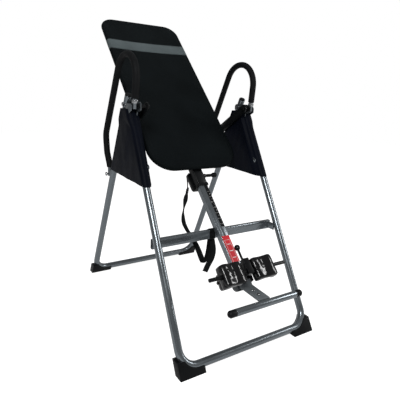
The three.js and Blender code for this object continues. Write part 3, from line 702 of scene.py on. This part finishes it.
refined("crossbar", SILVER, "stand", 0.8)
for side, _ in SIDES:
    refined(f"front_foot_{side}", PLASTIC, "stand", 2.5, 3)
    refined(f"rear_foot_{side}", PLASTIC, "rear_frame", 2.5, 3)
    refined(f"rear_end_cap_{side}", PLASTIC, "rear_frame", 0.8)
    refined(f"hinge_bracket_{side}", SILVER, "stand", 0.8)
    refined(f"hinge_bolt_{side}", ZINC, "stand", 0.8)
    refined(f"pivot_bush_{side}", PLASTIC, "stand", 0.5)
    refined(f"handle_bolt_{side}", ZINC, "stand", 0.8)
    refined(f"spreader_front_{side}", SILVER, "brace_front", 0.5)
    refined(f"spreader_rear_{side}", SILVER, "brace_rear", 0.5)
    refined(f"pivot_pin_{side}", BLACK_PAINT, "bed", 0.8)
    refined(f"footrest_cap_{side}", PLASTIC, "boom", 1.2)


# ---------------------------------------------------------------- bed
HALF, BOTTOM, TOP = 254.0, -236.0, 878.0
TOP_R, BOTTOM_R = 86.0, 125.0
RING_Y, RING_R, INSET = 188.6, 12.5, 16.0
WRAP_R = RING_R + 1.4
REACH = 58.0  # how far the cloth goes in behind the ring
CLOTH_T = 0.0012  # metres


def outline(step=18.0):
    """Points and outward normals of the bed's outline, anticlockwise from the front."""
    rows = []

    def side(x0, z0, x1, z1, nx, nz):
        count = max(2, round(math.hypot(x1 - x0, z1 - z0) / step))
        for k in range(count):
            rows.append((x0 + (x1 - x0) * k / count, z0 + (z1 - z0) * k / count, nx, nz))

    def corner(cx, cz, radius, start, count=12):
        for k in range(count):
            t = math.radians(start + 90 * k / count)
            rows.append((cx + radius * math.cos(t), cz + radius * math.sin(t),
                         math.cos(t), math.sin(t)))

    low, high = HALF - BOTTOM_R, HALF - TOP_R
    side(-low, BOTTOM, low, BOTTOM, 0, -1)
    corner(low, BOTTOM + BOTTOM_R, BOTTOM_R, -90)
    side(HALF, BOTTOM + BOTTOM_R, HALF, TOP - TOP_R, 1, 0)
    corner(high, TOP - TOP_R, TOP_R, 0)
    side(high, TOP, -high, TOP, 0, 1)
    corner(-high, TOP - TOP_R, TOP_R, 90)
    side(-HALF, TOP - TOP_R, -HALF, BOTTOM + BOTTOM_R, -1, 0)
    corner(-low, BOTTOM + BOTTOM_R, BOTTOM_R, 180)
    return rows


def sag(x, z):
    """How far the stretched cloth dips behind the ring's front."""
    across = max(0.0, 1 - (x / (HALF - INSET)) ** 2)
    along = (z - BOTTOM - INSET) * (TOP - INSET - z) / ((TOP - BOTTOM) / 2) ** 2
    along = max(0.0, along) ** 0.5
    ripple = noise.noise(Vector((x / 150, 0.3, z / 260))) * 1.6
    return (8.5 * across ** 0.8 + ripple) * along * across ** 0.35


def front_face(x, z):
    return RING_Y - WRAP_R + sag(x, z)


def bed_cloth():
    """One sheet: the front face, the wrap round the ring and the hem behind it."""
    rim = outline()
    profile = []  # (distance in from the outline, depth) from the hem to the front
    hem, turn, inner = 5, 12, 26
    for k in range(hem):
        profile.append((INSET + REACH * (1 - k / hem), RING_Y + WRAP_R - 3.0 * (1 - k / hem)))
    for k in range(turn + 1):
        t = math.pi * k / turn
        profile.append((INSET - WRAP_R * math.sin(t), RING_Y + WRAP_R * math.cos(t)))
    vertices = []
    for inward, depth in profile:
        for x, z, nx, nz in rim:
            vertices.append(bed(x - nx * inward, depth, z - nz * inward))
    spine_low, spine_high = BOTTOM + HALF, TOP - HALF
    for k in range(1, inner + 1):
        share = (k / inner) ** 0.9
        for x, z, nx, nz in rim:
            x0, z0 = x - nx * INSET, z - nz * INSET
            x1, z1 = 0.0, min(max(z, spine_low), spine_high)
            px, pz = x0 + (x1 - x0) * share, z0 + (z1 - z0) * share
            vertices.append(bed(px, front_face(px, pz), pz))
    mesh = mesh_of("bed_cloth", vertices, quads(len(profile) + inner, len(rim)))
    area = facing_out(mesh, weld=0.0004)
    thing = object_of("bed_cloth", mesh, BED_CLOTH, "bed")
    thickened(thing, CLOTH_T)
    baked(thing)
    smooth(thing.data, 60)
    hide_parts("backrest")
    return thing, area


cloth, cloth_area = bed_cloth()
ring_low, ring_high = BOTTOM + INSET, TOP - INSET
ring = rounded([
    (-1, RING_Y, ring_low), (-(HALF - INSET), RING_Y, ring_low, BOTTOM_R - INSET),
    (-(HALF - INSET), RING_Y, ring_high, TOP_R - INSET),
    (HALF - INSET, RING_Y, ring_high, TOP_R - INSET),
    (HALF - INSET, RING_Y, ring_low, BOTTOM_R - INSET), (1, RING_Y, ring_low),
])
tube_piece("bed_ring", ring, RING_R, BLACK_PAINT, "bed", "black_paint", "bed_loop_tube",
           edge=0.5, up_hint=(0, 1, 0), place=bed)


def around_bed(q, z, lift):
    """A point on the cloth at width q (past the front edge it goes round the ring)."""
    edge = HALF - INSET
    sign = 1 if q >= 0 else -1
    q = abs(q)
    if q <= edge:
        return bed(sign * q, front_face(q * sign, z) - lift, z)
    t = min((q - edge) / WRAP_R, math.pi)
    reach = WRAP_R + lift
    over = max(0.0, q - edge - math.pi * WRAP_R)
    return bed(sign * (edge + reach * math.sin(t) - over), RING_Y - reach * math.cos(t), z)


BAND_LOW, BAND_HIGH, BAND_T = 606.0, 684.0, 0.0007
BAND_REACH = 30  # how far the band goes in behind the ring


def bed_band():
    """A sewn band across the cloth, a little proud of it except at its two edges."""
    edge = HALF - INSET + math.pi * WRAP_R + BAND_REACH
    tall = BAND_HIGH - BAND_LOW
    columns, steps = 96, 8
    vertices = []
    for j in range(steps + 1):
        for k in range(columns + 1):
            q = edge * (2 * k / columns - 1)
            lift = 0.7 + 0.5 * min(j, steps - j, 1)
            vertices.append(around_bed(q, BAND_LOW + tall * j / steps, lift))
    mesh = mesh_of("bed_band", vertices, quads(steps + 1, columns + 1, closed=False))
    thing = object_of("bed_band", mesh, BAND_CLOTH, "bed")
    thickened(thing, BAND_T, -1)
    baked(thing)
    smooth(thing.data, 60)


bed_band()


STITCH_LONG, STITCH_WIDE, STITCH_PITCH = 3.4, 0.9, 5.5


def stitches(name, places, body):
    """Short raised stitches: places are (point, along, across, out) in metres."""
    vertices, faces = [], []
    for point, along, across, out in places:
        base = len(vertices)
        for s, n in ((-1, 0), (-0.7, 1), (0.7, 1), (1, 0)):
            for w in (-1, 1):
                vertices.append(
                    point + along * (s * STITCH_LONG / 2000) + across * (w * STITCH_WIDE / 2000)
                    + out * (n * 0.0006 - 0.0002)
                )
        for k in range(3):
            faces.append((base + 2 * k, base + 2 * k + 2, base + 2 * k + 3, base + 2 * k + 1))
        faces.append((base, base + 1, base + 7, base + 6))
        faces.append((base, base + 6, base + 4, base + 2))
        faces.append((base + 1, base + 3, base + 5, base + 7))
    object_of(name, mesh_of(name, vertices, faces), THREAD, body)


def bed_stitching():
    """Two rows along the band and one round the cloth's edge."""
    out = -(BED.to_3x3() @ Vector((0, 1, 0)))
    level = Vector((1, 0, 0))
    up_bed = BED.to_3x3() @ Vector((0, 0, 1))
    places = []
    reach = HALF - INSET - 2
    for z in (BAND_LOW + 3, BAND_HIGH - 3):
        count = round(2 * reach / STITCH_PITCH)
        for k in range(count):
            q = -reach + (k + 0.5) * 2 * reach / count
            places.append((around_bed(q, z, 1.3), level, up_bed, out))
    inward = 34.0
    for x, z, nx, nz in outline(STITCH_PITCH):
        px, pz = x - nx * inward, z - nz * inward
        along = level * -nz + up_bed * nx
        across = level * nx + up_bed * nz
        places.append((bed(px, front_face(px, pz) - 0.7, pz), along, across, out))
    stitches("bed_stitching", places, "bed")


bed_stitching()
refined("bed_beam", BLACK_PAINT, "bed", 0.7)
refined("boom_sleeve", BLACK_PAINT, "bed", 0.6)
refined("sleeve_collar", PLASTIC, "bed", 1.2)
refined("height_lock_knob", PLASTIC, "height_lock", 1.0)
refined("height_lock_pin", ZINC, "height_lock", 0.3)

# ---------------------------------------------------------------- boom
refined("boom_tube", SILVER, "boom", 0.4)
refined("boom_plug", PLASTIC, "boom", 1.0)
refined("footrest_bracket", SATIN, "boom", 0.8)
refined("heel_plate", GREY_PLASTIC, "boom", 1.2)
refined("ankle_lock_housing", BLACK_PAINT, "boom", 2.0, 3)
refined("ankle_slide", BLACK_PAINT, "ankle_clamp", 1.2)
refined("ankle_release_rod", BLACK_PAINT, "ankle_release", 0.5)
refined("ankle_release_ball", GLOSS, "ankle_release", 0)

tube_piece(
    "footrest_bar_round", [(-158, 130, -936), (158, 130, -936)], 14.5, SILVER, "boom",
    "silver_paint", "footrest_bar", up_hint=(0, 1, 0), place=bed,
)
for node, body, y, z, radius, half in (
    ("front_axle", "ankle_clamp", 154, -788, 8, 203), ("rear_axle", "boom", 279, -775, 6, 92)
):
    tube_piece(f"{node}_round", [(-half, y, z), (half, y, z)], radius, BLACK_PAINT, body,
               "black_paint", node, up_hint=(0, 1, 0), place=bed)


PAD_INSET = 0.0006  # metres, so that the swelling stays inside the node's block


def pad(node, body):
    """A moulded pad: the node's block with fully rounded edges and swelling faces."""
    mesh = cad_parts[node].data.copy()
    thing = object_of(f"{node}_skin", mesh, GLOSS, body)
    remeshed(thing, 0.0045, 36, 0.6)
    subdivided(thing)
    baked(thing)
    moved = []
    for vertex in thing.data.vertices:
        swell = noise.noise(vertex.co * 30) * 0.0010 + noise.noise(vertex.co * 75) * 0.0004
        moved.extend(vertex.co + vertex.normal * (swell - PAD_INSET))
    thing.data.vertices.foreach_set("co", moved)
    smooth(thing.data, 180)
    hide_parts(node)


def footrest_bolts():
    """Two dome-headed bolts on the footrest bracket's slanted plate."""
    start, end = Vector((0, 213.7, -838)), Vector((0, 138, -920.5))
    way = (end - start).normalized()
    out = Vector((0, way.z, -way.y))
    for n, share in enumerate((0.35, 0.68), 1):
        foot = start.lerp(end, share) + out * 5.1
        tube_piece(f"footrest_bolt_{n}", [foot, foot + out * 4], 6.5, ZINC, "boom",
                   "zinc_steel", edge=2.2, sides=24, place=bed)


footrest_bolts()
for side, _ in SIDES:
    pad(f"front_cushion_{side}", "ankle_clamp")
    pad(f"rear_cushion_{side}", "boom")


refined("height_scale", PLASTIC, "boom", 0.1, 1, "height_scale_strip")
refined("boom_label", RED_FILM, "boom", 0.1, 1, "boom_label_film")

BOOM_Y, BOOM_HALF, GAP, FILM_T = 230.0, 16, 0.3, 0.6
FILM_FACE = BOOM_Y - BOOM_HALF - GAP - FILM_T


def flat_bar(vertices, faces, x0, x1, z0, z1, proud):
    """A printed bar on the boom's films, standing `proud` of them."""
    base = len(vertices)
    for y in (FILM_FACE - proud, FILM_FACE + 0.05):
        for x, z in ((x0, z0), (x1, z0), (x1, z1), (x0, z1)):
            vertices.append(bed(x, y, z))
    faces += [tuple(base + i for i in f) for f in (
        (0, 1, 2, 3), (7, 6, 5, 4), (0, 4, 5, 1), (1, 5, 6, 2), (2, 6, 7, 3), (3, 7, 4, 0)
    )]


SEGMENTS = {
    "0": "abcdef", "1": "bc", "2": "abged", "3": "abgcd", "4": "fgbc", "5": "afgcd",
    "6": "afgedc", "7": "abc", "8": "abcdefg", "9": "abcdfg",
}
STROKES = {
    "a": (0, 2, 1, 2), "b": (1, 1, 1, 2), "c": (1, 0, 1, 1), "d": (0, 0, 1, 0),
    "e": (0, 0, 0, 1), "f": (0, 1, 0, 2), "g": (0, 1, 1, 1),
}


TICKS, TICK_TOP, TICK_PITCH, TICK_END = 14, -352.0, 15, 17.4
DIGIT_X, DIGIT_SIZE, DIGIT_STEP = 4.2, 2.0, 3
THIN, PROUD = 0.25, 0.25  # half a stroke's width, and its height


def scale_marks():
    """Ticks and plain numbers on the height scale."""
    vertices, faces = [], []
    for k in range(TICKS):
        z = TICK_TOP - k * TICK_PITCH
        long = 7.5 if k % 2 == 0 else 4.5
        flat_bar(vertices, faces, TICK_END - long, TICK_END, z - 0.5, z + 0.5, PROUD)
        if k % 2:
            continue
        for n, digit in enumerate(str(k // 2 + 1)):
            left = DIGIT_X + n * DIGIT_STEP
            for stroke in SEGMENTS[digit]:
                x0, z0, x1, z1 = STROKES[stroke]
                flat_bar(
                    vertices, faces, left + x0 * DIGIT_SIZE - THIN, left + x1 * DIGIT_SIZE + THIN,
                    z + (z0 - 1) * DIGIT_SIZE - THIN, z + (z1 - 1) * DIGIT_SIZE + THIN, PROUD,
                )
    mesh = mesh_of("height_scale_marks", vertices, faces)
    object_of("height_scale_marks", mesh, WHITE_INK, "boom")


def label_marks():
    """A pale border and three plain bars on the red film."""
    vertices, faces = [], []
    low, high = -728.0, -610.0
    for x0, x1, z0, z1 in (
        (-13, 15, high - 4, high - 3), (-13, 15, low + 3, low + 4),
        (-13, -12, low + 4, high - 4), (14, 15, low + 4, high - 4),
        (-8, 10, -636, -633), (-8, 10, -668, -665), (-8, 10, -700, -697),
    ):
        flat_bar(vertices, faces, x0, x1, z0, z1, 0.2)
    mesh = mesh_of("boom_label_marks", vertices, faces)
    object_of("boom_label_marks", mesh, WHITE_INK, "boom")


scale_marks()
label_marks()


# ---------------------------------------------------------------- side covers
COVER_LOW, COVER_HIGH, HEM_RISE = 664.0, 991.0, 10  # the hem is higher at the rear leg
ROUND_Y = 20.5


def cover_loop(straight=20, turn=10):
    """Once round a sleeve: the share from front to rear leg, the angle round a leg (None
    between the legs), and 1 on the outer face or -1 on the inner one."""
    loop = [(k / straight, None, 1) for k in range(straight + 1)]
    loop += [(1.0, math.pi * k / turn, 0) for k in range(1, turn)]
    loop += [(1 - k / straight, None, -1) for k in range(straight + 1)]
    loop += [(0.0, math.pi * k / turn, 0) for k in range(1, turn)]
    return loop


def cover_point(sign, t, share, angle, face):
    """A sleeve's point at share t of its height."""
    rise = HEM_RISE * share
    z = COVER_LOW + rise + (COVER_HIGH - COVER_LOW - rise) * t
    front, rear = leg_y(FRONT, z), leg_y(REAR, z)
    y = front + (rear - front) * share
    inner_x = 23 + 14 * clamp(share / 0.04) + 4 * clamp((share - 0.5) / 0.3)
    shoulder = clamp((t - 0.74) / 0.1)
    outer_x = 19 + 8 * max(math.sin(math.pi * share), shoulder)
    half_x, middle_x = (inner_x + outer_x) / 2, (outer_x - inner_x) / 2
    if angle is not None:
        way = 1 if share == 1.0 else -1
        y += way * ROUND_Y * math.sin(angle)
        x = middle_x + way * half_x * math.cos(angle)
    else:
        x = middle_x + face * half_x
        slack = math.sin(math.pi * share)
        bracket = max(0.0, (t - 0.86) / 0.14)
        open_ = (1 - bracket) * min(1.0, 0.35 + (1 - t) * 1.2)
        dent = 7.0 * slack * open_
        fold = noise.noise(Vector((y / 42 + 7 * sign, z / 130, face * 3.1)))
        diagonal = math.sin((y * 0.9 + z * 0.55) / 23 + 1.3 * sign)
        crease = (3.2 * fold + 1.3 * diagonal) * slack * open_
        x += -dent - crease if face > 0 else -abs(crease)
    hem = 1.5 * noise.noise(Vector((y / 30, 1.7 * sign, 0.0))) * (1 - t) ** 6
    return row(sign * (LEG_X + x), y, z + hem)


def side_cover(side, sign):
    """A nylon sleeve round both legs, slack between them, with soft folds."""
    levels, loop = 34, cover_loop()
    vertices = [cover_point(sign, j / levels, *at) for j in range(levels + 1) for at in loop]
    mesh = mesh_of(f"leg_cover_{side}", vertices, quads(levels + 1, len(loop)))
    area = facing_out(mesh)
    thing = object_of(f"leg_cover_{side}", mesh, COVER_CLOTH, None)
    thickened(thing, CLOTH_T)
    subdivided(thing)
    baked(thing)
    smooth(thing.data, 60)
    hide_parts(f"side_cover_{side}")
    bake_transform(thing)


for side, sign in SIDES:
    side_cover(side, sign)


# ---------------------------------------------------------------- loop and buckle on the crossbar
def bar_loop():
    """Webbing folded round the crossbar."""
    cy, cz, depth, height = -162.0, 425.0, 20.0, 44.0
    x0, x1 = -39.0, -9.0
    gap, thick = 0.6, 2.0
    rings = []
    for extra in (gap, gap + thick):
        rim = []
        w, h, rad = depth / 2 + extra, height / 2 + extra, 4.0 + extra
        for corner, (sy, sz) in enumerate(((1, 1), (-1, 1), (-1, -1), (1, -1))):
            for k in range(7):
                t = math.radians(90 * corner + 15 * k)
                rim.append((cy + sy * (w - rad) + rad * math.cos(t),
                            cz + sz * (h - rad) + rad * math.sin(t)))
        rings.append(rim)
    count = len(rings[0])
    vertices, faces, uvs = [], [], []
    walls = [(rings[0], x0), (rings[1], x0), (rings[1], x1), (rings[0], x1)]
    for rim, x in walls:
        for k, (y, z) in enumerate(rim):
            vertices.append(row(x, y, z))
            uvs.append((0.0 if x == x0 else 1.0, k / count * 0.11))
    for n in range(4):
        for k in range(count):
            m, o = (k + 1) % count, (n + 1) % 4
            faces.append((n * count + k, n * count + m, o * count + m, o * count + k))
    mesh = mesh_of("tether_bar_loop", vertices, faces, uvs)
    facing_out(mesh)
    smooth(mesh)
    thing = object_of("tether_bar_loop", mesh, WEBBING, "stand")
    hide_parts("tether_loop")


bar_loop()
refined("tether_buckle", PLASTIC, "stand", 1.0)


# ---------------------------------------------------------------- floor and light
def floor():
    """A pale floor that glows more to the camera than as a light."""
    mesh = mesh_of("floor", [(-9, -9, 0), (9, -9, 0), (9, 9, 0), (-9, 9, 0)], [(0, 1, 2, 3)])
    material, tree, shader = new_material("pale_floor")
    shader.inputs["Roughness"].default_value = 0.9
    shader.inputs["Specular IOR Level"].default_value = 0.05
    shader.inputs["Emission Color"].default_value = (1, 1, 1, 1)
    rays = add(tree, "ShaderNodeLightPath")
    tree.links.new(
        span(tree, rays.outputs["Is Camera Ray"], 0.35, 0.88), shader.inputs["Emission Strength"]
    )
    cloud = texture(tree, position(tree), Scale=2.0)
    tree.links.new(
        ramp(tree, cloud, (0.0, (0.4, 0.4, 0.4)), (1.0, (0.42, 0.42, 0.42))),
        shader.inputs["Base Color"],
    )
    thing = bpy.data.objects.new("floor", mesh)
    mesh.materials.append(material)
    bpy.context.scene.collection.objects.link(thing)


def area_light(name, place, target, size, power, mirrored=True):
    lamp = bpy.data.lights.new(name, "AREA")
    lamp.shape = "RECTANGLE"
    lamp.size, lamp.size_y = size
    lamp.energy = power
    thing = bpy.data.objects.new(name, lamp)
    thing.visible_glossy = mirrored
    way = Vector(target) - Vector(place)
    aim = way.to_track_quat("-Z", "Y").to_matrix().to_4x4()
    thing.matrix_world = Matrix.Translation(place) @ aim
    bpy.context.scene.collection.objects.link(thing)


def studio_world():
    """White to the eye, and dimmer as a light, so that dark cloth stays dark."""
    world = bpy.data.worlds.new("studio")
    world.use_nodes = True
    tree = world.node_tree
    rays = add(tree, "ShaderNodeLightPath")
    strength = span(tree, rays.outputs["Is Camera Ray"], 0.28, 1.0)
    background = tree.nodes["Background"]
    background.inputs["Color"].default_value = (1, 1, 1, 1)
    tree.links.new(strength, background.inputs["Strength"])
    bpy.context.scene.world = world


floor()
area_light("key", (-2.2, -2.6, 3.0), (0, 0, 0.8), (1.0, 1.0), 90)
area_light("fill", (3.2, -2.2, 2.2), (0, 0, 0.7), (0.45, 2.2), 55)
area_light("top", (0.3, 0.9, 3.8), (0, 0, 0.6), (2.0, 2.0), 70, False)
studio_world()
bpy.context.scene.view_settings.view_transform = "Standard"
